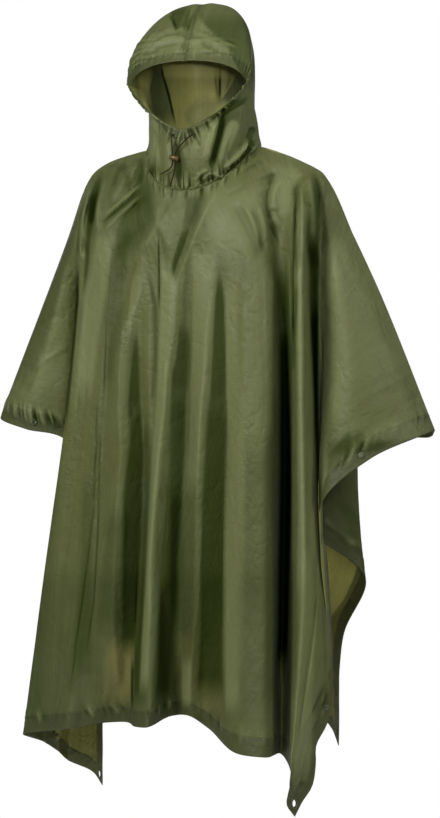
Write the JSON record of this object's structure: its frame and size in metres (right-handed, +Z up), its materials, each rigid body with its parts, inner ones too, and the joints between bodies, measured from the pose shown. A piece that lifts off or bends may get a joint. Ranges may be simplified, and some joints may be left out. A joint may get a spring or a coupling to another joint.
{
  "type": "rain poncho",
  "caption": "Hooded rain poncho in worn shape: front and back panels with open sides, wide turned hems, corner eyelets, side snaps, and a drawcord hood with a toggle.",
  "frame": {"origin": "midpoint between the two shoulder points, on the line where the wearer's shoulders carry the garment", "axes": "+X to the wearer's left, -Y forwards out of the face opening, +Z up"},
  "size_m": [0.89, 0.4719, 1.5267],
  "materials": {
    "coated_cloth": "satin coated ripstop",
    "hood_cloth": "satin coated ripstop",
    "painted_brass": "olive paint, satin",
    "drawcord": "braided cord",
    "toggle": "satin"
  },
  "bodies": {
    "root": {"front": "coated_cloth", "back": "coated_cloth", "hood_right": "hood_cloth", "hood_left": "hood_cloth", "cord_eyelet_right": "painted_brass", "cord_eyelet_left": "painted_brass", "corner_eyelet_front_right": "painted_brass", "corner_eyelet_front_left": "painted_brass", "corner_eyelet_back_right": "painted_brass", "corner_eyelet_back_left": "painted_brass", "snap_front_right_cuff": "painted_brass", "snap_front_right_side": "painted_brass", "snap_front_left_cuff": "painted_brass", "snap_front_left_side": "painted_brass", "snap_back_right_cuff": "painted_brass", "snap_back_right_side": "painted_brass", "snap_back_left_cuff": "painted_brass", "snap_back_left_side": "painted_brass", "drawcord_right": "drawcord", "drawcord_left": "drawcord", "toggle": "toggle"}
  },
  "joints": []
}
